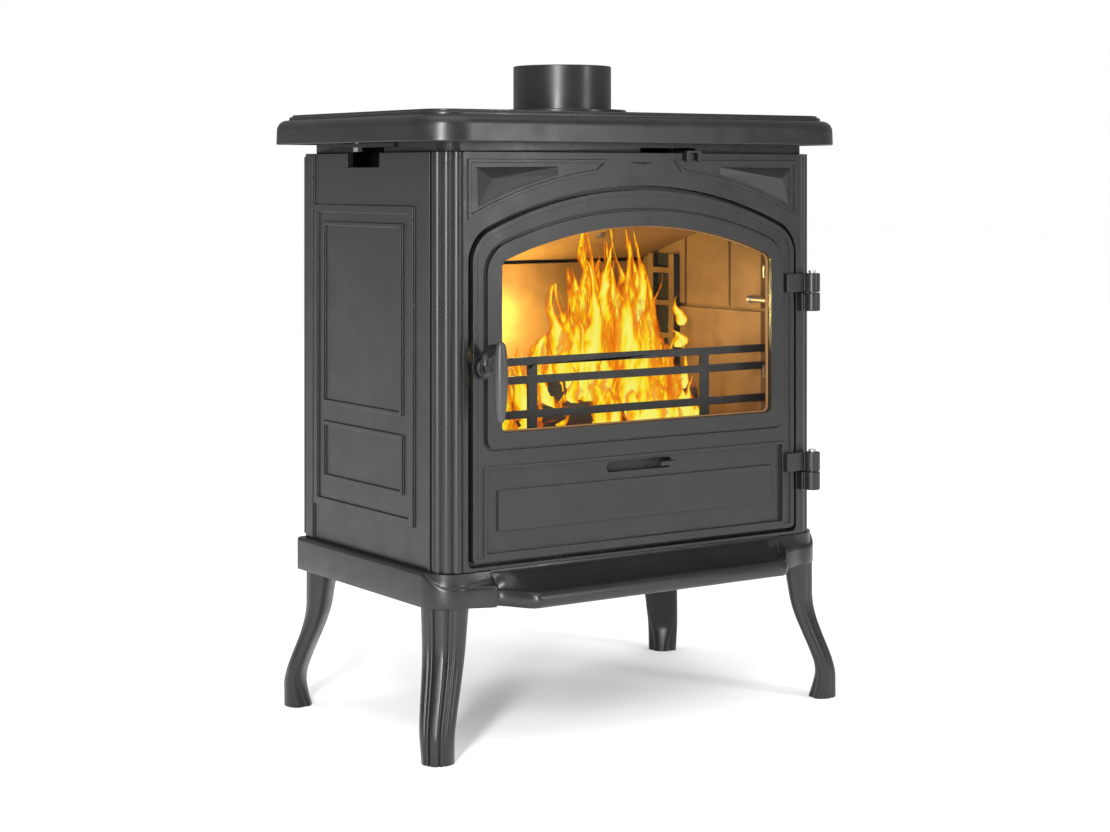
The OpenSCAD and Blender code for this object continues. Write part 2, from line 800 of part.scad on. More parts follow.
// The back liner stops a little under the baffle, which lies on the side liners.
back_gap = 5;
module liner_back() color(brick) place()
  translate([-liner_x, liner_y1, z_hearth]) cube([2 * liner_x, liner_back_t, liner_top_back - back_gap]);

baffle_run = liner_y1 - liner_y0 - liner_flat;
baffle_fall = liner_h - liner_top_back;
module baffle_plate() color(brick) place() difference() {
  translate([-liner_x, 0, 0]) rotate([90, 0, 90]) linear_extrude(2 * liner_x) polygon([
    [liner_y0 + liner_flat, z_hearth + liner_h],
    [liner_y1, z_hearth + liner_top_back],
    [liner_y1, z_hearth + liner_top_back + baffle_t],
    [liner_y0 + liner_flat, z_hearth + liner_h + baffle_t]
  ]);
  baffle_site() translate([0, 0, -1]) cylinder(r = bolt_r, h = 2 * baffle_t);
}

// The bolt's place on the baffle's sloping underside, with +Z square to the board.
baffle_bolt_x = 67;
baffle_bolt_y = 8;
baffle_slope = baffle_fall / baffle_run;
module baffle_site() {
  z = z_hearth + liner_top_back + (liner_y1 - baffle_bolt_y) * baffle_slope;
  translate([baffle_bolt_x, baffle_bolt_y, z]) rotate([-atan(baffle_slope), 0, 0]) children();
}

module baffle_bolt() color(steel) place() baffle_site()
  hex_bolt(bolt_r, bolt_head_r, bolt_head_h, baffle_t + 2);

// Slotted channel up the rear of the right liner.
bracket_y0 = 48;
bracket_y1 = 108;
bracket_deep = 11;
bracket_web = 2;
bracket_lip = 12;
bracket_rung = 8;
bracket_pitch = 46;
module liner_bracket() color(iron_dark) place() {
  face = liner_x - liner_t;
  height = liner_top_back + (liner_y1 - bracket_y1) * baffle_slope - 1;
  translate([face - bracket_web, bracket_y0, z_hearth])
    cube([bracket_web, bracket_y1 - bracket_y0, height]);
  for (y = [bracket_y0, bracket_y1 - bracket_lip])
    translate([face - bracket_deep, y, z_hearth]) cube([bracket_deep, bracket_lip, height]);
  for (i = [0:4])
    translate([face - bracket_deep, bracket_y0 + 1, z_hearth + 24 + i * bracket_pitch])
      cube([bracket_deep, bracket_y1 - bracket_y0 - 2, bracket_rung]);
}

// Air jet on the right liner, with a flared tip.
jet_r = 4;
jet_len = 40;
jet_z = z_floor + 309.5;
jet_flare = 1.5;
jet_off = 2;
module air_jet() color(steel) place()
  translate([liner_x - liner_t - jet_r - jet_off, liner_y0 - 24, jet_z]) difference() {
    union() {
      rotate([-90, 0, 0]) cylinder(r = jet_r, h = jet_len);
      translate([0, jet_len - 5, 0]) rotate([-90, 0, 0]) cylinder(r = jet_r + jet_flare, h = 5);
      translate([0, jet_len - 13, -3]) cube([jet_r + jet_off, 8, 6]);
    }
    translate([0, -1, 0]) rotate([-90, 0, 0]) cylinder(r = jet_r - 1.5, h = jet_len + 2);
  }

// Log guard inside the door.
module fire_fence() color(iron_dark) place() {
  wall(fence_y, fence_t) {
    for (z = fence_z)
      translate([-fence_a, z - fence_bar / 2]) square([2 * fence_a, fence_bar]);
    for (sx = [-1, 1])
      translate([sx * fence_post_x - fence_post_w / 2, z_hearth])
        square([fence_post_w, fence_z[2] + fence_bar / 2 - z_hearth]);
  }
  for (sx = [-1, 1]) translate([sx * fence_post_x - fence_post_w / 2, fence_y, z_hearth])
    cube([fence_post_w, 24, 4]);
}

// ---------- hinges and latch on the body ----------

module hinge_bore(z0, h) {
  translate([hinge_x, hinge_y, z0 - 1]) cylinder(r = pin_r, h = h + 2);
}

// Fixed lug: a knuckle on a block that grows out of the column.
module hinge_lug(z_split) color(iron) place() {
  z0 = z_split - knuckle_h;
  difference() {
    union() {
      translate([hinge_x, hinge_y, z0]) cylinder(r = knuckle_r, h = knuckle_h - hinge_split);
      translate([hinge_x - 15, hinge_y + 3, z0]) cube([22, 9, knuckle_h - hinge_split]);
      translate([hinge_x - 15, y_front - 0.5, z0]) cube([10, 8, knuckle_h - hinge_split]);
    }
    hinge_bore(z0, knuckle_h);
    column_clearance();
  }
}

// The space taken by the right-hand column and the front plate.
module column_clearance() {
  column(1);
  translate([column_x - 60, y_front, z_floor]) cube([60 + column_lap, front_t, body_h]);
}

module upper_hinge_lug() hinge_lug(hinge_z_hi);
module lower_hinge_lug() hinge_lug(hinge_z_lo);

module hinge_pin(z_split) color(steel) place() {
  z0 = z_split - knuckle_h;
  translate([hinge_x, hinge_y, z0]) cylinder(r = pin_r, h = 2 * knuckle_h + 1.5);
  translate([hinge_x, hinge_y, z_split + knuckle_h + 1]) cylinder(r = pin_r + 1.5, h = 2.5);
}
module upper_hinge_pin() hinge_pin(hinge_z_hi);
module lower_hinge_pin() hinge_pin(hinge_z_lo);

// Wear plate that the latch tongue closes on.
module latch_keeper() color(steel) place()
  translate([keeper_x1 - keeper_w, plate_back, hub_z - latch_room])
    cube([keeper_w, keeper_t, 2 * latch_room]);

// ---------- door ----------

function leaf_outline(g = 0) =
  arched(door_w / 2, door_z0, arch_z, door_arch_r, door_corner_r, 6, g);
function window_outline(g = 0) =
  arched(window_w / 2, z_floor + window_sill, z_floor + window_apex, window_arch_r, window_r, 8, g);
function frame_outline(g = 0) =
  arched(window_w / 2 + 23.5, z_floor + window_sill - frame_drop, z_floor + window_apex + frame_top,
    window_arch_r + 23.5, frame_r + 30, frame_r, g);

module stadium(a, h) {
  square([2 * a - h, h], center = true);
  for (s = [-1, 1]) translate([s * (a - h / 2), 0]) circle(d = h, $fn = 32);
}

module door_casting() color(iron) place() difference() {
  union() {
    wall(y_front, door_t) polygon(leaf_outline());
    // bead round the edge, and the raised frame round the glass
    wall(y_front - bead_h, bead_h + 1) difference() {
      polygon(leaf_outline());
      polygon(leaf_outline(bead_w));
    }
    wall(y_front - 4, 5) polygon(frame_outline(3));
    translate([hub_x, y_front + 1, hub_z]) rotate([90, 0, 0]) cylinder(r = hub_r + 2, h = hub_seat + 1);
    wall(y_front - 2, 3) difference() {
      translate([-panel_a - 4, panel_z0 - 4]) square([2 * panel_a + 8, panel_z1 - panel_z0 + 8]);
      translate([-panel_a, panel_z0]) square([2 * panel_a, panel_z1 - panel_z0]);
    }
  }
  wall(y_front - 10, 10 + door_t + 1) polygon(window_outline());
  // groove round the glass frame
  wall(y_front - 1, 3) difference() {
    polygon(frame_outline());
    polygon(frame_outline(3));
  }
  // sunk lower panel round its raised field
  wall(y_front - 1, 1 + panel_sink) difference() {
    translate([-panel_a, panel_z0]) square([2 * panel_a, panel_z1 - panel_z0]);
    translate([-field_a, field_z0]) square([2 * field_a, field_z1 - field_z0]);
  }
  wall(y_front - 1, door_t + 2) translate([0, slot_z]) stadium(slot_w / 2, slot_h);
  // seat for the glass and its rope
  wall(y_front + door_t - glass_t - 1, glass_t + 2) polygon(window_outline(-9));
  // groove for the door's rope seal, and the spindle bore
  wall(y_front + door_t - seal_seat, seal_seat + 1) seal_ring();
  translate([hub_x, y_front - 10, hub_z]) rotate([-90, 0, 0]) cylinder(r = spindle_r + pin_clear, h = 40);
}

module door_glass() color("#a9b3b5", 0.35) place()
  wall(y_front + door_t - glass_t, glass_t) polygon(window_outline(-8.5));

module glass_seal() color("#d8d3c6") place()
  wall(y_front + door_t - glass_t - 1, 1) difference() {
    polygon(window_outline(-8.5));
    polygon(window_outline(-3));
  }

// Clips that hold the glass, three along the sill and two up each side.
clip_w = 16;
clip_l = 22;
clip_t = 2.5;
clip_zlo = z_floor + window_sill - 18;
clip_zhi = z_floor + window_apex - 24;
module clip_sites() {
  for (x = [-140, 0, 140]) translate([x, y_front + door_t, clip_zlo]) children();
  for (s = [-1, 1], z = [clip_zlo + 70, clip_zhi - 40])
    translate([s * (window_w / 2 + 17), y_front + door_t, z]) rotate([0, s * -90, 0]) children();
}

module glass_clips() color(steel) place() clip_sites() difference() {
  translate([-clip_w / 2, 0, -5]) cube([clip_w, clip_t, clip_l]);
  rotate([-90, 0, 0]) translate([0, 0, -1]) cylinder(r = screw_r, h = clip_t + 2);
}

module clip_screws() color(steel) place() clip_sites() rotate([-90, 0, 0]) {
  cylinder(r = screw_r, h = clip_t + eps);
  translate([0, 0, clip_t]) cylinder(r = screw_head_r, h = screw_head_h);
}

// Rope seal in the door's back, which meets the landing of the front casting. It stops either
// side of the latch spindle.
module seal_ring() {
  difference() {
    polygon(leaf_outline(seal_in));
    polygon(leaf_outline(seal_in + seal_w));
    translate([hub_x - seal_w, hub_z - latch_room]) square([2 * seal_w, 2 * latch_room]);
  }
}

module door_seal() color("#d8d3c6") place()
  wall(y_front + door_t - seal_seat, seal_seat + front_t - door_t - seal_gap) seal_ring();

// Door half of a hinge: a strap on the stile that runs out to its knuckle.
module hinge_leaf(z_split) color(iron) place() difference() {
  union() {
    translate([strap_x, y_front - bead_h - strap_t, z_split])
      cube([door_w / 2 - bead_w - strap_x, strap_t + bead_h, knuckle_h]);
    translate([strap_x, y_front - bead_h - strap_t, z_split]) cube([hinge_x - strap_x, strap_t, knuckle_h]);
    translate([hinge_x, hinge_y, z_split]) cylinder(r = knuckle_r, h = knuckle_h);
  }
  translate([hinge_x, hinge_y, z_split - 1]) cylinder(r = pin_r + pin_clear, h = knuckle_h + 2);
}
module upper_hinge_leaf() hinge_leaf(hinge_z_hi);
module lower_hinge_leaf() hinge_leaf(hinge_z_lo);

// Rails above and below the air slider, as long as its travel.
module slider_guides() color(steel) place() for (s = [-1, 1])
  translate([slider_x0 - lever_travel - 2, y_front + door_t, slot_z + s * (slider_h / 2 + 3.5) - 3])
    cube([slider_x1 - slider_x0 + lever_travel + 4, 5, 6]);

// ---------- handle ----------

module handle_hub() color(iron) place() difference() {
  union() {
    translate([hub_x, hub_y, hub_z]) rotate([90, 0, 0]) cylinder(r = hub_r, h = hub_t);
    translate([hub_x - 7.5, hub_y - hub_t, hub_z]) cube([15, hub_t, grip_top - 8 - hub_z]);
    translate([hub_x, grip_y + 4, grip_top - 12]) rotate([-90, 0, 0])
      cylinder(r = 7.5, h = hub_y - grip_y - 4);
  }
  translate([hub_x, y_front + 1, hub_z]) rotate([90, 0, 0]) cylinder(r = spindle_r, h = 30);
}

// Oval grip that hangs in front of the hub.
module handle_grip() color(iron_dark) place() difference() {
  translate([hub_x, grip_y, grip_top - grip_len / 2]) resize([grip_w, grip_w - 2, grip_len])
    sphere(r = 20, $fn = 40);
  translate([hub_x, grip_y + 4, grip_top - 12]) rotate([-90, 0, 0]) cylinder(r = 7.5, h = 30);
}

module handle_spindle() color(steel) place()
  translate([hub_x, hub_y - hub_t - 1, hub_z]) rotate([-90, 0, 0])
    cylinder(r = spindle_r, h = tongue_y + tongue_t + 7 - hub_y + hub_t + 1);

module latch_tongue() color(steel) place() difference() {
  union() {
    translate([hub_x - tongue_len, tongue_y, hub_z - tongue_h / 2]) cube([tongue_len, tongue_t, tongue_h]);
    translate([hub_x, tongue_y, hub_z]) rotate([-90, 0, 0]) cylinder(r = 11, h = tongue_t);
  }
  translate([hub_x, y_front, hub_z]) rotate([-90, 0, 0]) cylinder(r = spindle_r, h = 60);
}

module spindle_nut() color(steel) place() difference() {
  translate([hub_x, tongue_y + tongue_t, hub_z]) rotate([-90, 0, 0]) cylinder(r = 8.5, h = 5, $fn = 6);
  translate([hub_x, y_front, hub_z]) rotate([-90, 0, 0]) cylinder(r = spindle_r, h = 60);
}

// ---------- air controls ----------

module air_slider_plate() color(steel) place()
  translate([slider_x0, y_front + door_t + plate_gap, slot_z - slider_h / 2])
    cube([slider_x1 - slider_x0, 2.5, slider_h]);

module air_slider_lever() color(iron_dark) place() {
  // stem through the slot, then the finger piece in front of the door
  translate([lever_x - lever_w / 2 + 2, y_front - lever_out, slot_z - 2.5])
    cube([lever_w - 4, door_t + plate_gap + lever_out, 5]);
  translate([lever_x - lever_w / 2 - 12, y_front - lever_out - 5, slot_z - 3]) cube([lever_w + 12, 6, 6]);
}

// Air-wash slide over the front casting, with a forked tab in front of the frieze.
module airwash_slide() color(iron_dark) place() {
  y0 = y_front - relief - 4;
  translate([wash_x - wash_w / 2, y0, wash_z]) cube([wash_w, front_t + land_t + 18, wash_t]);
  for (s = [-1, 1])
    translate([wash_x + s * (wash_w / 2 - 3) - 3, y0, z_body - 11]) cube([6, 3, 12 + eps]);
}

// ---------- ash pan ----------

module ash_pan() color(steel) place() difference() {
  translate([-pan_w / 2, pan_y0, pan_z]) cube([pan_w, pan_d, pan_h]);
  translate([-pan_w / 2 + pan_wall, pan_y0 + pan_wall, pan_z + pan_wall])
    cube([pan_w - 2 * pan_wall, pan_d - 2 * pan_wall, pan_h]);
}

module ash_pan_handle() color(steel) place() difference() {
  translate([-50, pan_y0 - 18, pan_z + pan_h - 18]) cube([100, 18, 12]);
  translate([-44, pan_y0 - 14, pan_z + pan_h - 19]) cube([88, 20, 14]);
}

base_casting();
ash_lip();
leg_front_left();
leg_front_right();
leg_rear_left();
leg_rear_right();
leg_bolts();
front_casting();
side_panel_left();
side_panel_right();
rear_panel();
rear_heat_shield();
shield_spacers();
shield_screws();
top_plate();
flue_collar();
collar_screws();
clamp_bars();
clamp_bolts();
tie_rods();
hearth_plate();
ash_chamber_left();
ash_chamber_right();
pan_rails();
fire_grate();
liner_left();
liner_right();
liner_back();
liner_bracket();
baffle_plate();
baffle_bolt();
air_jet();
fire_fence();
latch_keeper();
upper_hinge_lug();
lower_hinge_lug();
upper_hinge_pin();
lower_hinge_pin();
door_casting();
door_glass();
glass_seal();
glass_clips();
clip_screws();
door_seal();
upper_hinge_leaf();
lower_hinge_leaf();
slider_guides();
handle_hub();
handle_grip();
handle_spindle();
latch_tongue();
spindle_nut();
air_slider_plate();
air_slider_lever();
airwash_slide();
ash_pan();
ash_pan_handle();
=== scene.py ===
"""Looks for the cast-iron wood burning stove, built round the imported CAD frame."""
import json
import math
import random

import bmesh
import bpy
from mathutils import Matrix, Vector, noise


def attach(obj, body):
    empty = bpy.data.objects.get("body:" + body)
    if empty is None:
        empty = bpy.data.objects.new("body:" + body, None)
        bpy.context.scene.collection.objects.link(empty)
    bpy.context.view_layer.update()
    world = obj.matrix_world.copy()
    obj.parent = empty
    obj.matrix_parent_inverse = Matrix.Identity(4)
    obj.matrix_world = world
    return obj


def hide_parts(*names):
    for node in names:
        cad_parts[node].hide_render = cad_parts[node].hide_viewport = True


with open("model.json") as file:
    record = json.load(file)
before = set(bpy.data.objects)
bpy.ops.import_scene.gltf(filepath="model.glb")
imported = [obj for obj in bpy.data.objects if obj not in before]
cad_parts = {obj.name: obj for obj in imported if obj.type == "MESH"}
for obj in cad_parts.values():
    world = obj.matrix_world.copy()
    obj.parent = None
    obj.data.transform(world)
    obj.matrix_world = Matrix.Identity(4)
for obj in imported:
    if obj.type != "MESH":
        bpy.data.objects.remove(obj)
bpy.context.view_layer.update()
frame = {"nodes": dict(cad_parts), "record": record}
scene = bpy.context.scene
slot_of = {part["node"]: part["material_slot"] for part in frame["record"]["subparts"]}
body_of = {node: body for body, nodes in frame["record"]["behaviour"]["bodies"].items() for node in nodes}


# ---------- camera, floor and light ----------

def make_camera():
    """Stands where the stove's front-left corner points, level, and a little below the stove's top."""
    data = bpy.data.cameras.new("camera")
    camera = bpy.data.objects.new("camera", data)
    scene.collection.objects.link(camera)
    camera.location = (-1.6502, -2.3857, 0.695)
    camera.rotation_euler = (math.radians(90), 0, math.radians(-34.335))
    data.lens = 71.0
    data.sensor_width = 36.0
    data.shift_y = -0.215
    data.clip_start = 0.05
    scene.camera = camera


def make_floor():
    half = 30.0
    corners = [(-half, -half, 0), (half, -half, 0), (half, half, 0), (-half, half, 0)]
    mesh = bpy.data.meshes.new("floor")
    mesh.from_pydata(corners, [], [(0, 1, 2, 3)])
    floor = bpy.data.objects.new("floor", mesh)
    scene.collection.objects.link(floor)
    material, shader, nodes, links = new_material("floor_paint")
    grain = noise_node(nodes, links, scale=3.0, detail=2)
    ramp = ramp_node(nodes, [(0.3, (0.988, 0.988, 0.988)), (0.7, (1.0, 1.0, 1.0))])
    links.new(grain.outputs["Fac"], ramp.inputs["Fac"])
    links.new(ramp.outputs["Color"], shader.inputs["Base Color"])
    shader.inputs["Roughness"].default_value = 0.9
    shader.inputs["Specular IOR Level"].default_value = 0.0
    mesh.materials.append(material)


def area_light(name, location, target, size, power):
    data = bpy.data.lights.new(name, "AREA")
    data.shape = "RECTANGLE"
    data.size, data.size_y = size
    data.energy = power
    light = bpy.data.objects.new(name, data)
    scene.collection.objects.link(light)
    light.location = location
    light.rotation_euler = (Vector(target) - Vector(location)).to_track_quat("-Z", "Y").to_euler()


def point_light(name, location, power, color, radius):
    data = bpy.data.lights.new(name, "POINT")
    data.energy = power
    data.color = color
    data.shadow_soft_size = radius
    light = bpy.data.objects.new(name, data)
    scene.collection.objects.link(light)
    light.location = location


def make_light():
    """A white room that the stove reflects dimmer than it is, two upright strips and a soft overhead."""
    room = 1.0
    reflected_room = 0.34
    world = bpy.data.worlds.new("studio")
    world.use_nodes = True
    nodes, links = world.node_tree.nodes, world.node_tree.links
    background = nodes["Background"]
    background.inputs["Color"].default_value = (1, 1, 1, 1)
    path = nodes.new("ShaderNodeLightPath")
    strength = range_node(nodes, links, path.outputs["Is Glossy Ray"], room, reflected_room)
    links.new(strength.outputs["Result"], background.inputs["Strength"])
    scene.world = world
    middle = (0, 0, 0.45)
    area_light("key", (-2.2, -2.1, 1.3), middle, (0.3, 2.2), 110)
    area_light("fill", (1.3, -2.8, 1.4), middle, (0.3, 2.0), 27)
    area_light("overhead", (-0.3, -0.6, 3.2), (0, 0, 0.5), (3.0, 3.0), 40)
    scene.view_settings.view_transform = "Standard"


def make_fire_light():
    """Warm light inside the firebox, strongest by the back wall on the left."""
    yellow = (1.0, 0.8, 0.26)
    amber = (1.0, 0.6, 0.22)
    orange = (1.0, 0.48, 0.14)
    point_light("glow_left", (-0.02, 0.09, 0.5), 2.5, yellow, 0.03)
    point_light("glow_middle", (0.03, -0.03, 0.52), 0.5, amber, 0.05)
    point_light("glow_right", (0.17, -0.1, 0.5), 0.12, amber, 0.04)
    point_light("glow_embers", (-0.02, -0.06, 0.4), 0.25, orange, 0.04)


# ---------- material helpers ----------

def new_material(name):
    material = bpy.data.materials.new(name)
    material.use_nodes = True
    nodes = material.node_tree.nodes
    return material, nodes["Principled BSDF"], nodes, material.node_tree.links


def coordinates(nodes, links, stretch=(1, 1, 1)):
    """Object coordinates, stretched."""
    coords = nodes.new("ShaderNodeTexCoord")
    mapping = nodes.new("ShaderNodeMapping")
    mapping.inputs["Scale"].default_value = stretch
    links.new(coords.outputs["Object"], mapping.inputs["Vector"])
    return mapping


def noise_node(nodes, links, scale, detail=3, roughness=0.5, stretch=(1, 1, 1), distortion=0.0):
    texture = nodes.new("ShaderNodeTexNoise")
    texture.inputs["Scale"].default_value = scale
    texture.inputs["Detail"].default_value = detail
    texture.inputs["Roughness"].default_value = roughness
    texture.inputs["Distortion"].default_value = distortion
    links.new(coordinates(nodes, links, stretch).outputs["Vector"], texture.inputs["Vector"])
    return texture


def ramp_node(nodes, stops):
    """A colour ramp from (place, colour) stops."""
    ramp = nodes.new("ShaderNodeValToRGB")
    elements = ramp.color_ramp.elements
    while len(elements) < len(stops):
        elements.new(0.5)
    for element, (place, color) in zip(elements, stops):
        element.position = place
        element.color = (*color, 1)
    return ramp


def range_node(nodes, links, source, low, high, start=0.0, end=1.0):
    """Maps source from start..end to low..high."""
    mapper = nodes.new("ShaderNodeMapRange")
    mapper.inputs["From Min"].default_value = start
    mapper.inputs["From Max"].default_value = end
    mapper.inputs["To Min"].default_value = low
    mapper.inputs["To Max"].default_value = high
    links.new(source, mapper.inputs["Value"])
    return mapper


def bump_node(nodes, links, height, shader, strength, distance):
    bump = nodes.new("ShaderNodeBump")
    bump.inputs["Strength"].default_value = strength
    bump.inputs["Distance"].default_value = distance
    links.new(height, bump.inputs["Height"])
    links.new(bump.outputs["Normal"], shader.inputs["Normal"])
    return bump


# ---------- materials ----------

def iron_material(name, dark, light, roughness, grain=0.35, rounding=0.0):
    """Cast iron under stove paint: cast grain, soft clouds in the colour, uneven gloss.

    Where rounding is given, edges are shaded round to that radius.
    """
    material, shader, nodes, links = new_material(name)
    clouds = noise_node(nodes, links, scale=9, detail=5, roughness=0.6)
    ramp = ramp_node(nodes, [(0.32, dark), (0.68, light)])
    links.new(clouds.outputs["Fac"], ramp.inputs["Fac"])
    links.new(ramp.outputs["Color"], shader.inputs["Base Color"])
    gloss = noise_node(nodes, links, scale=30, detail=4)
    spread = range_node(nodes, links, gloss.outputs["Fac"], roughness - 0.05, roughness + 0.07, 0.3, 0.7)
    links.new(spread.outputs["Result"], shader.inputs["Roughness"])
    casting = noise_node(nodes, links, scale=420, detail=2, roughness=0.5)
    bump = bump_node(nodes, links, casting.outputs["Fac"], shader, grain, 0.00012)
    if rounding:
        rounded = nodes.new("ShaderNodeBevel")
        rounded.samples = 8
        rounded.inputs["Radius"].default_value = rounding
        links.new(rounded.outputs["Normal"], bump.inputs["Normal"])
    shader.inputs["Metallic"].default_value = 0.0
    shader.inputs["Specular IOR Level"].default_value = 0.46
    return material


def steel_material(name, color, roughness):
    """Plain steel with fine drawn lines."""
    material, shader, nodes, links = new_material(name)
    lines = noise_node(nodes, links, scale=60, detail=4, stretch=(1, 1, 30))
    dark = tuple(0.75 * channel for channel in color)
    ramp = ramp_node(nodes, [(0.35, dark), (0.65, color)])
    links.new(lines.outputs["Fac"], ramp.inputs["Fac"])
    links.new(ramp.outputs["Color"], shader.inputs["Base Color"])
    spread = range_node(nodes, links, lines.outputs["Fac"], roughness - 0.06, roughness + 0.1, 0.3, 0.7)
    links.new(spread.outputs["Result"], shader.inputs["Roughness"])
    bump_node(nodes, links, lines.outputs["Fac"], shader, 0.2, 0.0002)
    shader.inputs["Metallic"].default_value = 0.95
    return material


def firebrick_material():
    """Tan refractory board: speckled, a little sooty, rough."""
    material, shader, nodes, links = new_material("firebrick")
    clouds = noise_node(nodes, links, scale=14, detail=6, roughness=0.65)
    sooty, tan, pale = (0.1, 0.048, 0.015), (0.19, 0.095, 0.03), (0.26, 0.135, 0.045)
    ramp = ramp_node(nodes, [(0.25, sooty), (0.5, tan), (0.8, pale)])
    links.new(clouds.outputs["Fac"], ramp.inputs["Fac"])
    links.new(ramp.outputs["Color"], shader.inputs["Base Color"])
    shader.inputs["Roughness"].default_value = 0.62
    specks = noise_node(nodes, links, scale=240, detail=4, roughness=0.7)
    bump_node(nodes, links, specks.outputs["Fac"], shader, 0.4, 0.0006)
    return material


def rope_material():
    """Woven glass-fibre rope."""
    material, shader, nodes, links = new_material("rope_seal")
    weave = nodes.new("ShaderNodeTexWave")
    weave.wave_type = "BANDS"
    weave.bands_direction = "DIAGONAL"
    weave.inputs["Scale"].default_value = 160
    weave.inputs["Distortion"].default_value = 2.0
    links.new(coordinates(nodes, links).outputs["Vector"], weave.inputs["Vector"])
    ramp = ramp_node(nodes, [(0.0, (0.28, 0.26, 0.23)), (1.0, (0.6, 0.58, 0.53))])
    links.new(weave.outputs["Fac"], ramp.inputs["Fac"])
    links.new(ramp.outputs["Color"], shader.inputs["Base Color"])
    shader.inputs["Roughness"].default_value = 0.9
    bump_node(nodes, links, weave.outputs["Fac"], shader, 0.5, 0.0008)
    return material


def glass_material():
    """Clear door glass, with a faint smoke haze."""
    material, shader, nodes, links = new_material("door_glass")
    haze = noise_node(nodes, links, scale=7, detail=3)
    ramp = ramp_node(nodes, [(0.3, (0.01, 0.008, 0.006)), (0.7, (0.03, 0.024, 0.018))])
    links.new(haze.outputs["Fac"], ramp.inputs["Fac"])
    links.new(ramp.outputs["Color"], shader.inputs["Base Color"])
    veil = range_node(nodes, links, haze.outputs["Fac"], 0.02, 0.05, 0.3, 0.7)
    links.new(veil.outputs["Result"], shader.inputs["Alpha"])
    shader.inputs["Roughness"].default_value = 0.06
    return material


def flame_material():
    """Heat falls off to a tongue's edges and tip, in filaments, and sets its colour and opacity."""
    material, shader, nodes, links = new_material("flame")
    place = nodes.new("ShaderNodeUVMap")
    place.uv_map = "flame"
    split = nodes.new("ShaderNodeSeparateXYZ")
    links.new(place.outputs["UV"], split.inputs["Vector"])
    licks = noise_node(nodes, links, 26, detail=4, roughness=0.55, stretch=(1, 1, 0.3), distortion=1.3)
    threads = noise_node(nodes, links, 60, stretch=(1, 1, 0.28), distortion=2.2)
    swirl = range_node(nodes, links, licks.outputs["Fac"], -0.62, 0.62, 0.25, 0.75)
    thread = range_node(nodes, links, threads.outputs["Fac"], -0.22, 0.22, 0.3, 0.7)
    core = range_node(nodes, links, split.outputs["X"], 1.05, 0.0)
    rise = range_node(nodes, links, split.outputs["Y"], 0.36, -0.5)
    heat = add_nodes(nodes, links, *(part.outputs["Result"] for part in (core, rise, swirl, thread)))
    tint = ramp_node(nodes, [(0.12, (0.5, 0.05, 0.0)), (0.34, (0.9, 0.18, 0.004)), (0.52, (1.0, 0.4, 0.006)),
                             (0.66, (1.0, 0.76, 0.01)), (1.0, (1.0, 0.93, 0.16))])
    cover = ramp_node(nodes, [(0.1, (0, 0, 0)), (0.36, (0.8, 0.8, 0.8)), (0.62, (1, 1, 1))])
    links.new(heat, tint.inputs["Fac"])
    links.new(heat, cover.inputs["Fac"])
    links.new(tint.outputs["Color"], shader.inputs["Emission Color"])
    links.new(cover.outputs["Color"], shader.inputs["Alpha"])
    shader.inputs["Emission Strength"].default_value = 1.0
    shader.inputs["Base Color"].default_value = (0, 0, 0, 1)
    shader.inputs["Roughness"].default_value = 1.0
    shader.inputs["Specular IOR Level"].default_value = 0.0
    return material


def add_nodes(nodes, links, *values):
    """The sum of several values."""
    total = values[0]
    for value in values[1:]:
        plus = nodes.new("ShaderNodeMath")
        plus.operation = "ADD"
        links.new(total, plus.inputs[0])
        links.new(value, plus.inputs[1])
        total = plus.outputs[0]
    return total


def ember_material():
    """Embers: grey ash over glowing cracks."""
    material, shader, nodes, links = new_material("ember")
    coals = noise_node(nodes, links, scale=38, detail=5, roughness=0.65, distortion=0.8)
    char = ramp_node(nodes, [(0.35, (0.01, 0.008, 0.007)), (0.6, (0.16, 0.13, 0.11))])
    links.new(coals.outputs["Fac"], char.inputs["Fac"])
    links.new(char.outputs["Color"], shader.inputs["Base Color"])
    glow = ramp_node(nodes, [(0.44, (0.0, 0.0, 0.0)), (0.5, (0.6, 0.06, 0.0)), (0.56, (1.0, 0.34, 0.03)),
                             (0.66, (1.0, 0.8, 0.4))])
    links.new(coals.outputs["Fac"], glow.inputs["Fac"])
    links.new(glow.outputs["Color"], shader.inputs["Emission Color"])
    shader.inputs["Emission Strength"].default_value = 1.2
    shader.inputs["Roughness"].default_value = 0.9
    bump_node(nodes, links, coals.outputs["Fac"], shader, 0.8, 0.004)
    return material


def log_material():
    """Charred log: dark bark with glowing seams."""
    material, shader, nodes, links = new_material("log")
    bark = noise_node(nodes, links, scale=45, detail=5, roughness=0.6, stretch=(0.25, 1, 1), distortion=0.6)
    char = ramp_node(nodes, [(0.3, (0.012, 0.009, 0.007)), (0.7, (0.09, 0.05, 0.028))])
    links.new(bark.outputs["Fac"], char.inputs["Fac"])
    links.new(char.outputs["Color"], shader.inputs["Base Color"])
    seams = ramp_node(nodes, [(0.56, (0, 0, 0)), (0.63, (0.7, 0.1, 0.0)), (0.74, (1.0, 0.45, 0.06))])
    links.new(bark.outputs["Fac"], seams.inputs["Fac"])
    links.new(seams.outputs["Color"], shader.inputs["Emission Color"])
    shader.inputs["Emission Strength"].default_value = 1.0
    shader.inputs["Roughness"].default_value = 0.9
    bump_node(nodes, links, bark.outputs["Fac"], shader, 0.9, 0.003)
    return material


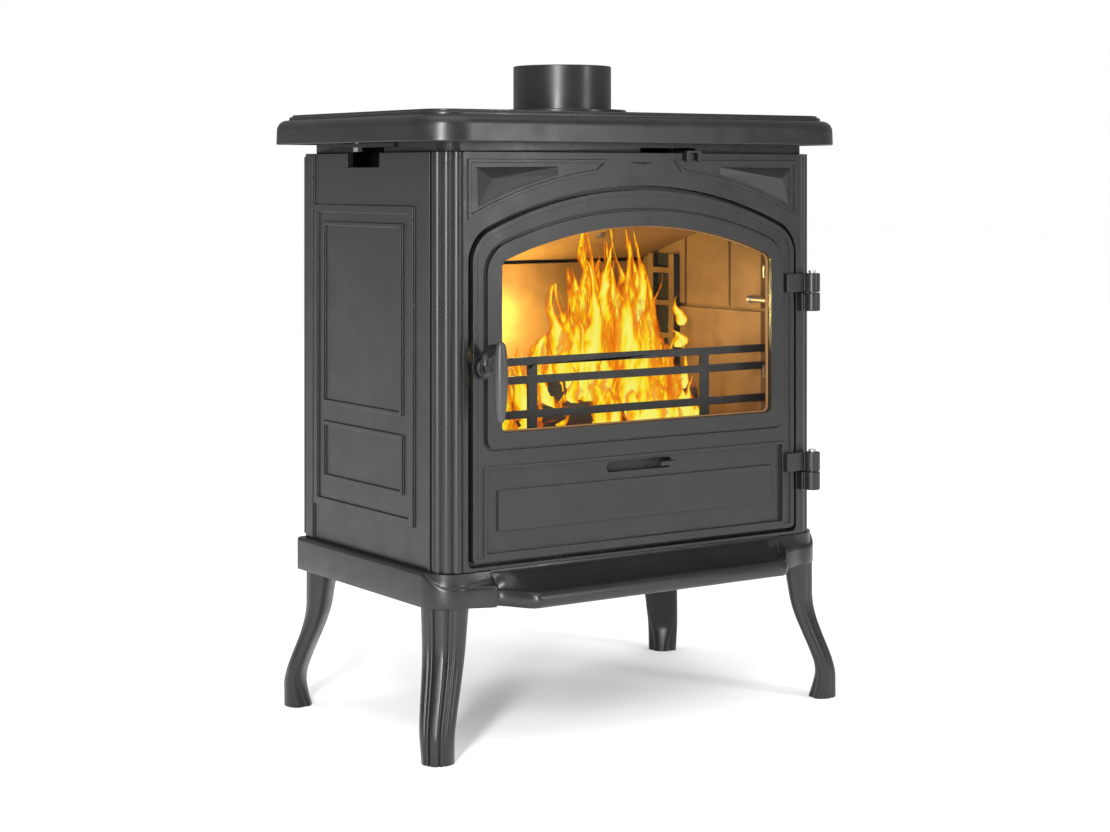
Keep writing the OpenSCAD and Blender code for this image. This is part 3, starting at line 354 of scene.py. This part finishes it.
def make_materials():
    paint = (0.008, 0.0082, 0.0085), (0.011, 0.0112, 0.0116)
    irons = {  # dark, light, roughness, grain, rounding
        "cast_iron": (*paint, 0.3),
        "cast_iron_rounded": (*paint, 0.3, 0.35, 0.0011),
        "inner_iron": ((0.008, 0.008, 0.008), (0.014, 0.0135, 0.013), 0.6, 0.6),
        "handle_iron": ((0.02, 0.0205, 0.021), (0.045, 0.046, 0.047), 0.34, 0.8),
        "shield_steel": ((0.036, 0.037, 0.038), (0.044, 0.045, 0.046), 0.5, 0.15),
        "pan_steel": ((0.05, 0.05, 0.051), (0.07, 0.07, 0.071), 0.45, 0.15),
    }
    made = {name: iron_material(name, *look) for name, look in irons.items()}
    made["fixings"] = steel_material("fixings", (0.5, 0.5, 0.5), 0.35)
    made["firebrick"] = firebrick_material()
    made["rope_seal"] = rope_material()
    made["door_glass"] = glass_material()
    made["flame"] = flame_material()
    made["ember"] = ember_material()
    made["log"] = log_material()
    return made


# ---------- softened castings ----------

WELD = 3e-6  # metres between corners that are one
FACET_ANGLE = 12  # degrees: a curved face turns less than this from facet to facet
EDGE_ANGLE = 33  # degrees: real edges turn more than this, and are rounded


def clean_copy(node, rounded):
    """A welded copy of a CAD node's mesh without its stored normals. Edges that aren't rounded stay sharp."""
    shape = bmesh.new()
    shape.from_mesh(frame["nodes"][node].data)
    bmesh.ops.remove_doubles(shape, verts=shape.verts, dist=WELD)
    for face in shape.faces:
        face.smooth = True
    for edge in shape.edges:
        turn = math.degrees(edge.calc_face_angle(0.0))
        edge.smooth = turn <= FACET_ANGLE or (rounded and turn >= EDGE_ANGLE)
    mesh = bpy.data.meshes.new(node + "_cast")
    shape.to_mesh(mesh)
    shape.free()
    if "custom_normal" in mesh.attributes:
        mesh.attributes.remove(mesh.attributes["custom_normal"])
    return mesh


def round_edges(piece, width):
    edge = piece.modifiers.new("edge", "BEVEL")
    edge.width = width
    edge.segments = 2
    edge.limit_method = "ANGLE"
    edge.angle_limit = math.radians(EDGE_ANGLE)
    edge.use_clamp_overlap = False
    edge.miter_outer = "MITER_ARC"
    edge.harden_normals = True
    edge.loop_slide = False


def soften(node, width):
    """Stands a copy of a CAD node with rounded edges, as a casting has, in the node's place.

    With no width the mesh keeps its edges, and the material shades them round.
    """
    rounded = width > 0
    piece = bpy.data.objects.new(node + "_cast", clean_copy(node, rounded))
    scene.collection.objects.link(piece)
    if rounded:
        round_edges(piece, width)
    slot = slot_of[node]
    piece.data.materials.clear()
    piece.data.materials.append(materials[slot if rounded else slot + "_rounded"])
    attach(piece, body_of[node])
    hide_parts(node)
    return piece


def paint_shade_below(piece, level):
    """Paints shade on the faces of a casting that are under level or face down, in the darker inner_iron
    colour, for the shadowed recess under the top's rim.
    """
    facing_down = -0.5
    # painted shade: the darker inner iron colours the recess and the undersides
    piece.data.materials.append(materials["inner_iron"])
    for face in piece.data.polygons:
        if face.center.z < level or face.normal.z < facing_down:
            face.material_index = 1


def paint_fire_lit_edges(piece):
    """Painted fire light: the slotted channel's edges towards the fire take the lighter firebrick colour, as
    if lit by the fire. The rest of it stays sooty.
    """
    depth = 0.0005
    # painted fire light: firebrick colour on the edges that face the fire
    piece.data.materials.append(materials["firebrick"])
    edge_x = min(vertex.co.x for vertex in piece.data.vertices) + depth
    for face in piece.data.polygons:
        if face.center.x < edge_x:
            face.material_index = 1


# ---------- bespoke castings ----------

SHIFT = 0.01325  # the body's own centre, in Y, from the stove's origin
Z_BASE = 0.179
Z_FLOOR = 0.2215
Z_RIM = 0.738


def smooth_step(value):
    value = min(1.0, max(0.0, value))
    return value * value * (3 - 2 * value)


def mesh_piece(name, points, faces, body, material, slot=None, replaced=()):
    """A mesh object with its material, on a body, standing for CAD nodes if any are named."""
    mesh = bpy.data.meshes.new(name)
    mesh.from_pydata(points, [], faces)
    mesh.validate()
    shape = bmesh.new()
    shape.from_mesh(mesh)
    bmesh.ops.recalc_face_normals(shape, faces=shape.faces)
    for face in shape.faces:
        face.smooth = True
    shape.to_mesh(mesh)
    shape.free()
    piece = bpy.data.objects.new(name, mesh)
    scene.collection.objects.link(piece)
    mesh.materials.append(materials[material])
    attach(piece, body)
    if replaced:
        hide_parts(*replaced)
    return piece


def loft(rings):
    """Points and faces of a skin over rings of equal count, with its two ends filled."""
    count = len(rings[0])
    points = [point for ring in rings for point in ring]
    faces = []
    for k in range(len(rings) - 1):
        for i in range(count):
            j = (i + 1) % count
            faces.append((k * count + i, k * count + j, (k + 1) * count + j, (k + 1) * count + i))
    faces.append(tuple(range(count)))
    faces.append(tuple((len(rings) - 1) * count + i for i in range(count)))
    return points, faces


def stand_in(node, points, faces, sharp_above=None):
    """A bespoke mesh in a CAD node's place, with the corners that turn sharp_above degrees kept sharp."""
    slot = slot_of[node]
    piece = mesh_piece(node + "_cast", points, faces, body_of[node], slot, slot, (node,))
    if sharp_above:
        shape = bmesh.new()
        shape.from_mesh(piece.data)
        for edge in shape.edges:
            edge.smooth = math.degrees(edge.calc_face_angle(0.0)) < sharp_above
        shape.to_mesh(piece.data)
        shape.free()


LEG_X = 0.292
LEG_Y = 0.1675
LEG_SWEEP = 0.0311
LEG_KNEE = 0.22  # places down a leg, from 0 at its top to 1 at its foot
LEG_ANKLE = 0.72


def leg_profile(t):
    """Outward step, depth and width of a leg at t, from 0 at its top to 1 at its foot."""
    step = 0.0
    if t > LEG_KNEE:
        step = LEG_SWEEP * (1 - math.cos(min(1, (t - LEG_KNEE) / 0.62) * math.pi / 2) ** 1.6)
    depth = 0.038 - 0.013 * math.sin(min(1, t / 0.62) * math.pi / 2)
    if t > LEG_ANKLE:
        depth += 0.011 * ((t - LEG_ANKLE) / (1 - LEG_ANKLE)) ** 1.5
    width = 0.058 - 0.018 * t ** 0.9
    return step, depth, width


def leg_flute(across):
    """Depth of the two flutes either side of the centre rib and of the two outer flutes."""
    inner = max(0.0, 1 - ((across - 0.29) / 0.1) ** 2) ** 2
    outer = max(0.0, 1 - ((across - 0.56) / 0.11) ** 2) ** 2
    return 0.0026 * inner + 0.002 * outer


def leg_point(t, angle):
    """A point of a leg's section: outward and sideways. Its back narrows to the heel near the foot."""
    step, depth, width = leg_profile(t)
    c, s = math.cos(angle), math.sin(angle)
    half = depth / 2
    if c > 0:
        x = half * (1.24 * c - 0.24) - leg_flute(abs(s))
        y = width / 2 * s
    else:
        heel = smooth_step((t - 0.66) / 0.3)
        pinch = 1 - 0.42 * heel * min(1.0, abs(c) * 3)
        x = half * (-0.76 * abs(c) ** 0.5 - 0.24)
        y = width / 2 * math.copysign(abs(s) ** 0.8, s) * pinch
    return step - half + x, y


def make_leg(node, sx, sy):
    """A cabriole leg, turned to point out from its corner of the base."""
    sides, steps = 120, 60
    turn = math.atan2(sy, sx)
    rings = []
    for k in range(steps + 1):
        t = k / steps
        ring = []
        for i in range(sides):
            x, y = leg_point(t, 2 * math.pi * i / sides)
            ring.append((sx * LEG_X + x * math.cos(turn) - y * math.sin(turn),
                         sy * LEG_Y + SHIFT + x * math.sin(turn) + y * math.cos(turn),
                         Z_BASE * (1 - t)))
        rings.append(ring)
    stand_in(node, *loft(rings), sharp_above=50)


BASE_X = 0.3035
BASE_Y0 = -0.179
BASE_Y1 = 0.179
BASE_R = 0.037
LIP_ROOT = 0.226
WING_OUT = 0.012
LIP_Y = -0.2335


def base_outline():
    """Plan points round the base: x, y, outward normal, how far the skirt flares, how low its edge falls."""
    out = []
    inner = BASE_X - BASE_R
    back_r = 0.006
    plain_fall = 0.2  # behind the lip, between the two wings
    for side in (-1, 1):
        front = []
        for i in range(1, 15):
            x = inner - (inner - LIP_ROOT) * i / 14
            front.append((side * x, BASE_Y0, 0, -1, WING_OUT * smooth_step(i / 14), 1.0))
        corner = []
        for i in range(17):
            a = math.pi / 2 * i / 16
            corner.append((side * (inner + BASE_R * math.sin(a)), BASE_Y0 + BASE_R - BASE_R * math.cos(a),
                           side * math.sin(a), -math.cos(a), 0.0, smooth_step(math.cos(a) * 1.1)))
        back = []
        for i in range(9):
            a = math.pi / 2 * i / 8
            back.append((side * (BASE_X - back_r + back_r * math.cos(a)),
                         BASE_Y1 - back_r + back_r * math.sin(a),
                         side * math.cos(a), math.sin(a), 0.0, 0.0))
        middle = [(side * x, BASE_Y0, 0, -1, 0.0, plain_fall) for x in (LIP_ROOT - 0.0006, 0.1)]
        if side < 0:
            out += back[::-1] + corner[::-1] + front + middle
        else:
            out += middle[::-1] + front[::-1] + corner + back
    return out


def make_base():
    """The base casting: a skirt that flares and falls at its front corners, under a flat plate."""
    outline = base_outline()
    drop = 0.0165

    def ring(level, inset, flare=1.0, follow=0.0, sag=0.0):
        points = []
        for x, y, nx, ny, wing, fall in outline:
            out = wing * flare - inset
            z = level - follow * drop * fall - sag * fall
            points.append((x + nx * out, y + SHIFT + ny * out, z))
        return points

    inside_and_lower_edge = [
        ring(Z_FLOOR - 0.008, 0.007, flare=0), ring(Z_BASE + 0.0006, 0.007, flare=0),
        ring(Z_BASE, 0.0062, flare=0.4), ring(Z_BASE, 0.0016), ring(Z_BASE + 0.0005, 0.0005),
    ]
    skirt = [ring(Z_BASE + 0.0018, 0), ring(Z_BASE + 0.01, 0), ring(Z_FLOOR - 0.005, 0, follow=1)]
    upper_edge = [
        ring(Z_FLOOR - 0.0025, 0.0004, follow=1), ring(Z_FLOOR - 0.0008, 0.0014, follow=1),
        ring(Z_FLOOR, 0.003, 0.9, 0.97),
    ]
    plate = [
        ring(Z_FLOOR, 0.0034, 0.5, 0.72, 0.002), ring(Z_FLOOR, 0.0037, 0.2, 0.4, 0.002),
        ring(Z_FLOOR, 0.004, 0, 0.08), ring(Z_FLOOR, 0.01, 0),
    ]
    stand_in("base_casting", *loft(inside_and_lower_edge + skirt + upper_edge + plate), sharp_above=40)


def lip_front(x):
    """Y of the lip's front edge: an ogee at each end out to the straight middle."""
    return BASE_Y0 - WING_OUT + (LIP_Y - BASE_Y0 + WING_OUT) * smooth_step((LIP_ROOT - abs(x)) / 0.036)


def make_lip():
    """The ash lip: a shallow scoop down to a rolled front edge."""
    roll = 0.0105
    root_z = Z_BASE + 0.0385
    scoop = 0.0185
    stations = 120
    rings = []
    for k in range(stations + 1):
        u = 2 * k / stations - 1
        x = (LIP_ROOT - 0.0004) * math.copysign(1 - (1 - abs(u)) ** 1.35, u)
        front = lip_front(x)
        slope_end = min(front + 0.013, BASE_Y0 - 0.0025)
        ring = [(BASE_Y0 + 0.001, root_z)]
        for i in range(1, 11):
            t = i / 10
            y = BASE_Y0 + (slope_end - BASE_Y0) * t
            ring.append((y, root_z - scoop * (1 - (1 - t) ** 1.7)))
        for i in range(18):
            a = math.radians(84 + 186 * i / 17)
            ring.append((front + roll + roll * math.cos(a), Z_BASE + roll + roll * math.sin(a)))
        ring.append((BASE_Y0 + 0.001, Z_BASE))
        rings.append([(x, y + SHIFT, z) for y, z in ring])
    stand_in("ash_lip", *loft(rings), sharp_above=45)


HUB = Vector((-0.2385, -0.1798 + SHIFT, 0.4665))
GRIP_Y = -0.2185 + SHIFT
GRIP_TOP = 0.5005
GRIP_LEN = 0.098


def lathe(profile, sides=64, squash=1.0):
    """Rings about +Z from (radius, height) pairs, squashed in Y."""
    turns = [2 * math.pi * i / sides for i in range(sides)]
    return [[(r * math.cos(turn), r * squash * math.sin(turn), z) for turn in turns] for r, z in profile]


def make_grip():
    """Oval grip that tapers downwards."""
    tip, widest = 0.0002, 0.0091
    steps = 40
    profile = []
    for k in range(steps + 1):
        t = k / steps
        swell = math.sqrt(max(0.0, 1 - (2 * t - 1) ** 2)) ** 0.62
        radius = max(tip, widest * swell * (0.82 + 0.2 * t))
        profile.append((radius, GRIP_TOP - GRIP_LEN + GRIP_LEN * t))
    rings = [[(x + HUB.x, y + GRIP_Y, z) for x, y, z in ring] for ring in lathe(profile, 56, 0.92)]
    stand_in("handle_grip", *loft(rings))


def tube(path, radii, sides=28):
    """Rings of a round bar along a path in a plane of constant X."""
    rings = []
    for k, (point, radius) in enumerate(zip(path, radii)):
        before, after = path[max(0, k - 1)], path[min(len(path) - 1, k + 1)]
        along = (Vector(after) - Vector(before)).normalized()
        across = Vector((1, 0, 0))
        up = along.cross(across).normalized()
        ring = []
        for i in range(sides):
            turn = 2 * math.pi * i / sides
            ring.append(tuple(Vector(point) + radius * (math.cos(turn) * across + math.sin(turn) * up)))
        rings.append(ring)
    return rings


def make_hub():
    """Boss on the door's stile, with the arm that carries the grip."""
    disc = [(0.0004, 0.0), (0.0122, 0.0), (0.013, 0.0008), (0.013, 0.0076), (0.0126, 0.0084),
            (0.0118, 0.0089), (0.0075, 0.009), (0.0066, 0.0085), (0.0004, 0.0085)]
    rings = [[(x + HUB.x, HUB.y - z, y + HUB.z) for x, y, z in ring] for ring in lathe(disc)]
    points, faces = loft(rings)
    start = Vector((HUB.x, HUB.y - 0.005, HUB.z + 0.004))
    middle = Vector((HUB.x, HUB.y - 0.006, GRIP_TOP - 0.006))
    end = Vector((HUB.x, GRIP_Y + 0.001, GRIP_TOP - 0.0125))
    steps = 24
    path = []
    radii = []
    for k in range(steps + 1):
        t = k / steps
        path.append((1 - t) ** 2 * start + 2 * t * (1 - t) * middle + t * t * end)
        radii.append(0.0078 - 0.0012 * math.sin(math.pi * t))
    arm_points, arm_faces = loft(tube(path, radii))
    offset = len(points)
    faces += [tuple(i + offset for i in face) for face in arm_faces]
    stand_in("handle_hub", points + arm_points, faces, sharp_above=50)


def arc(x, z, r, start, end, steps):
    """Points of an arc in XZ from angle start to angle end."""
    turns = [start + (end - start) * i / steps for i in range(steps + 1)]
    return [(x + r * math.cos(turn), z + r * math.sin(turn)) for turn in turns]


def arched_outline(half, sill, crown, arch_r, shoulder_r, corner_r, inset):
    """An arched outline in XZ, drawn in by inset, like the door's window."""
    centre = crown - arch_r
    shoulder_x = half - shoulder_r
    shoulder_z = centre + math.sqrt((arch_r - shoulder_r) ** 2 - shoulder_x ** 2)
    lean = math.atan2(shoulder_z - centre, shoulder_x)
    right = arc(half - corner_r, sill + corner_r, corner_r - inset, -math.pi / 2, 0, 8)
    right += arc(shoulder_x, shoulder_z, shoulder_r - inset, 0, lean, 8)
    top = arc(0, centre, arch_r - inset, lean, math.pi - lean, 48)
    return right + top + [(-x, z) for x, z in reversed(right)]


def make_window_bead():
    """Rope bead round the glass, browned by the fire, inside the window's edge."""
    front, back = -0.1722 + SHIFT, -0.1677 + SHIFT
    round_off = 0.0008
    window = dict(half=0.2115, sill=0.386, crown=0.634, arch_r=0.558, shoulder_r=0.012, corner_r=0.008)
    outer, middle, inner = (arched_outline(**window, inset=inset) for inset in (0.0001, 0.0012, 0.0018))
    section = [(outer, front), (middle, front), (inner, front + round_off), (inner, back), (outer, back)]
    points = [(x, y, z) for outline, y in section for x, z in outline]
    count = len(outer)
    faces = []
    for k in range(len(section)):
        after = (k + 1) % len(section)
        for i in range(count):
            j = (i + 1) % count
            faces.append((k * count + i, k * count + j, after * count + j, after * count + i))
    mesh_piece("window_bead", points, faces, "door", "firebrick", "rope_seal")


# ---------- fire ----------

FIRE_FLOOR = 0.357
CAMERA_SIDE = math.radians(-34)  # a turn about Z that faces a flame to the camera
BED_X = 0.205
BED_Y = (-0.105, 0.095)


def bed_height(x, y):
    """Height of the ember bed over the hearth."""
    rough = noise.fractal(Vector((x * 22, y * 22, 3.0)), 0.8, 2.0, 4)
    edge = smooth_step((BED_X - abs(x)) / 0.05) * smooth_step((0.105 - abs(y + 0.005)) / 0.04)
    return FIRE_FLOOR + 0.001 + edge * max(0.004, 0.016 + 0.012 * rough)


def make_embers():
    across, deep = 110, 56
    points = []
    for j in range(deep + 1):
        for i in range(across + 1):
            x = BED_X * (2 * i / across - 1)
            y = BED_Y[0] + (BED_Y[1] - BED_Y[0]) * j / deep
            points.append((x, y, bed_height(x, y)))
    faces = []
    for j in range(deep):
        for i in range(across):
            a = j * (across + 1) + i
            faces.append((a, a + 1, a + across + 2, a + across + 1))
    mesh_piece("ember_bed", points, faces, "stove", "ember")


LOGS = [  # middle, length, radius, heading and pitch in degrees
    ((-0.06, 0.03, 0.391), 0.26, 0.024, 8, 2), ((0.06, -0.015, 0.394), 0.24, 0.025, -14, 3),
    ((-0.02, -0.06, 0.386), 0.28, 0.02, 5, -2), ((0.0, 0.0, 0.424), 0.22, 0.02, 38, 5),
]


def make_log(index, middle, length, radius, heading, pitch):
    """A split log: rough round its girth, a little thinner to its ends, with worn rims."""
    turn, tilt = math.radians(heading), math.radians(pitch)
    along = Vector((math.cos(turn) * math.cos(tilt), math.sin(turn) * math.cos(tilt), math.sin(tilt)))
    side = Vector((-math.sin(turn), math.cos(turn), 0))
    up = along.cross(side) * -1
    steps, sides = 44, 40
    rings = []
    for k in range(steps + 1):
        u = k / steps - 0.5
        taper = 1 - 0.1 * abs(u) - 0.35 * smooth_step((abs(u) - 0.47) / 0.03)
        centre = Vector(middle) + along * u * length
        ring = []
        for i in range(sides):
            a = 2 * math.pi * i / sides
            bark = noise.fractal(Vector((u * 5 + index * 7, math.cos(a) * 3, math.sin(a) * 3)), 0.7, 2.0, 4)
            r = radius * taper * (1 + 0.13 * bark)
            ring.append(tuple(centre + side * r * math.cos(a) + up * r * math.sin(a)))
        rings.append(ring)
    mesh_piece(f"log_{index}", *loft(rings), "stove", "log")


def flame_top(side):
    """Height that the flames reach at a sideways place, seen from the front left."""
    main = 0.195 * math.exp(-((side - 0.05) / 0.06) ** 4)
    left = 0.12 * math.exp(-((side + 0.015) / 0.035) ** 2)
    right = 0.15 * math.exp(-((side - 0.1) / 0.035) ** 2)
    return 0.44 + max(main, left, right)


def add_tongue(points, faces, spots, foot, height, width, turn, sway, phase, start=0.0):
    """One flame tongue: a curved, swaying, pointed ribbon.

    Its spots hold the distance from its middle line, and the rise from start at its foot to 1 at its tip.
    """
    columns, rows = 8, 22
    first = len(points)
    for j in range(rows + 1):
        v = j / rows
        swell = (0.5 + 0.75 * math.sin(math.pi * min(1.0, v * 1.15) ** 0.7)) * max(0.0, 1 - v ** 2.2) ** 0.8
        drift = sway * v * math.sin(phase + 3.6 * v)
        lean = 0.35 * sway * v * math.cos(phase * 1.7 + 2.6 * v)
        for i in range(columns + 1):
            u = 2 * i / columns - 1
            flutter = 0.12 * width * noise.noise(Vector((phase * 9 + u, v * 5, phase)))
            out = u * width / 2 * swell + drift + flutter
            bow = 0.28 * width * swell * (1 - u * u) + lean
            points.append((foot[0] + out * math.cos(turn) + bow * math.sin(turn),
                           foot[1] + out * math.sin(turn) - bow * math.cos(turn), foot[2] + height * v))
            spots.append((abs(u), start + (1 - start) * v))
    for j in range(rows):
        for i in range(columns):
            a = first + j * (columns + 1) + i
            faces.append((a, a + 1, a + columns + 2, a + columns + 1))


WISPS = [  # foot, height, width, phase
    ((0.185, 0.0, 0.462), 0.03, 0.018, 1.0), ((0.19, 0.0, 0.492), 0.045, 0.016, 2.6),
]


def make_flames():
    """Tall tongues in the middle, a low wall of them behind the guard, and two loose wisps."""
    tall, low = 64, 70
    chance = random.Random(11)
    full_turn = 6.28
    points, faces, spots = [], [], []
    for _ in range(tall):
        side = chance.uniform(-0.035, 0.13)
        depth = chance.uniform(-0.03, 0.03)
        foot = (side * math.cos(CAMERA_SIDE) - depth * math.sin(CAMERA_SIDE),
                -0.02 + side * math.sin(CAMERA_SIDE) * 0.35 + depth, 0.375)
        height = (flame_top(side) - foot[2]) * chance.uniform(0.55, 1.05)
        width = chance.uniform(0.04, 0.075)
        turn = CAMERA_SIDE - CAMERA_SIDE * chance.uniform(-0.4, 0.5)
        add_tongue(points, faces, spots, foot, height, width, turn, chance.uniform(0.01, 0.03),
                   chance.uniform(0, full_turn))
    for _ in range(low):
        x = chance.uniform(-0.215, 0.165)
        foot = (x, chance.uniform(-0.088, -0.02), FIRE_FLOOR + 0.008)
        add_tongue(points, faces, spots, foot, chance.uniform(0.06, 0.12), chance.uniform(0.026, 0.05),
                   chance.uniform(-0.9, 0.2), chance.uniform(0.006, 0.018), chance.uniform(0, full_turn))
    for foot, height, width, phase in WISPS:
        add_tongue(points, faces, spots, foot, height, width, CAMERA_SIDE, 0.016, phase, start=0.1)
    piece = mesh_piece("flames", points, faces, "stove", "flame")
    layer = piece.data.uv_layers.new(name="flame")
    for loop in piece.data.loops:
        layer.data[loop.index].uv = spots[loop.vertex_index]


# ---------- the whole stove ----------

SOFT_EDGES = {  # how wide a casting's edges are rounded, in metres, or 0 to shade them round
    "front_casting": 0, "side_panel_left": 0.0009, "side_panel_right": 0.0009, "door_casting": 0,
    "top_plate": 0.0012, "flue_collar": 0.0012,
    "upper_hinge_lug": 0.0012, "lower_hinge_lug": 0.0012,
    "upper_hinge_leaf": 0.0012, "lower_hinge_leaf": 0.0012,
    "fire_fence": 0.0008, "liner_bracket": 0.0006, "air_slider_lever": 0.0008, "airwash_slide": 0.0005,
    "rear_heat_shield": 0.0003, "rear_panel": 0.001, "ash_pan": 0.0004, "ash_pan_handle": 0.0008,
}

materials = make_materials()
make_camera()
make_floor()
make_light()
make_fire_light()

for node, piece in frame["nodes"].items():
    piece.data.materials.clear()
    piece.data.materials.append(materials[slot_of[node]])

castings = {node: soften(node, width) for node, width in SOFT_EDGES.items()}
# painted shade in the recess under the top plate's rim
paint_shade_below(castings["top_plate"], Z_RIM + 0.0005)
# painted fire light on the bracket's edges towards the fire
paint_fire_lit_edges(castings["liner_bracket"])

for row, sy in (("front", -1), ("rear", 1)):
    for side, sx in (("left", -1), ("right", 1)):
        make_leg(f"leg_{row}_{side}", sx, sy)
make_base()
make_lip()
make_grip()
make_hub()
make_window_bead()
make_embers()
for index, log in enumerate(LOGS):
    make_log(index, *log)
make_flames()
